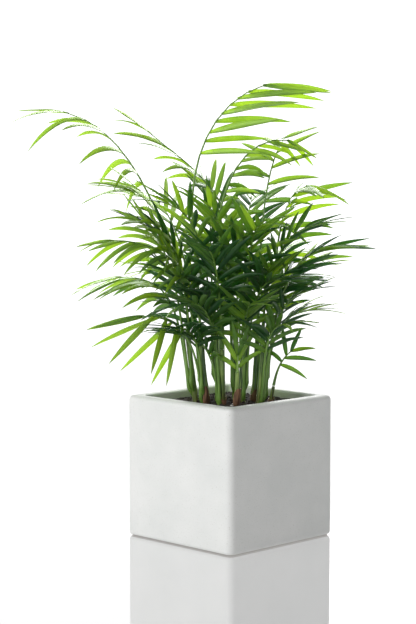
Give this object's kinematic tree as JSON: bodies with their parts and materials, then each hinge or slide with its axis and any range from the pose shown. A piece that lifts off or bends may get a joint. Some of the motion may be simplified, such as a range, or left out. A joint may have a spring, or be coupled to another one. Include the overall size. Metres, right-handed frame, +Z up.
{
  "type": "potted palm",
  "caption": "Clump of young feather-leaved palms growing from the soil of a thick-walled square ceramic planter with rounded corners and a flat underside.",
  "frame": {"origin": "centre of the pot's flat underside", "axes": "+Z up; X and Y square to the pot's faces; the clump's two tallest arching leaves lie along the diagonal from -X -Y to +X +Y, and are seen broadside from the +X -Y corner"},
  "size_m": [0.3057, 0.2813, 0.4355],
  "materials": {
    "ceramic": "matt white glaze",
    "soil": "rough",
    "stem": "satin",
    "leaf": "satin"
  },
  "bodies": {
    "root": {"ceramic_pot": "ceramic", "palm_01_frond_1": "leaf", "palm_01_frond_2": "leaf", "palm_01_frond_3": "leaf", "palm_01_frond_4": "leaf", "palm_01_stem": "stem", "palm_02_frond_1": "leaf", "palm_02_frond_2": "leaf", "palm_02_frond_3": "leaf", "palm_02_frond_4": "leaf", "palm_02_stem": "stem", "palm_03_frond_1": "leaf", "palm_03_frond_2": "leaf", "palm_03_frond_3": "leaf", "palm_03_stem": "stem", "palm_04_frond_1": "leaf", "palm_04_frond_2": "leaf", "palm_04_frond_3": "leaf", "palm_04_frond_4": "leaf", "palm_04_frond_5": "leaf", "palm_04_stem": "stem", "palm_05_frond_1": "leaf", "palm_05_frond_2": "leaf", "palm_05_frond_3": "leaf", "palm_05_stem": "stem", "palm_06_frond_1": "leaf", "palm_06_frond_2": "leaf", "palm_06_frond_3": "leaf", "palm_06_stem": "stem", "palm_07_frond_1": "leaf", "palm_07_frond_2": "leaf", "palm_07_frond_3": "leaf", "palm_07_stem": "stem", "palm_08_frond_1": "leaf", "palm_08_stem": "stem", "palm_09_frond_1": "leaf", "palm_09_frond_2": "leaf", "palm_09_frond_3": "leaf", "palm_09_stem": "stem", "palm_10_frond_1": "leaf", "palm_10_frond_2": "leaf", "palm_10_frond_3": "leaf", "palm_10_stem": "stem", "palm_11_frond_1": "leaf", "palm_11_frond_2": "leaf", "palm_11_frond_3": "leaf", "palm_11_stem": "stem", "palm_12_frond_1": "leaf", "palm_12_frond_2": "leaf", "palm_12_frond_3": "leaf", "palm_12_stem": "stem", "palm_13_frond_1": "leaf", "palm_13_frond_2": "leaf", "palm_13_frond_3": "leaf", "palm_13_frond_4": "leaf", "palm_13_frond_5": "leaf", "palm_13_stem": "stem", "palm_14_frond_1": "leaf", "palm_14_stem": "stem", "potting_soil": "soil"}
  },
  "joints": []
}
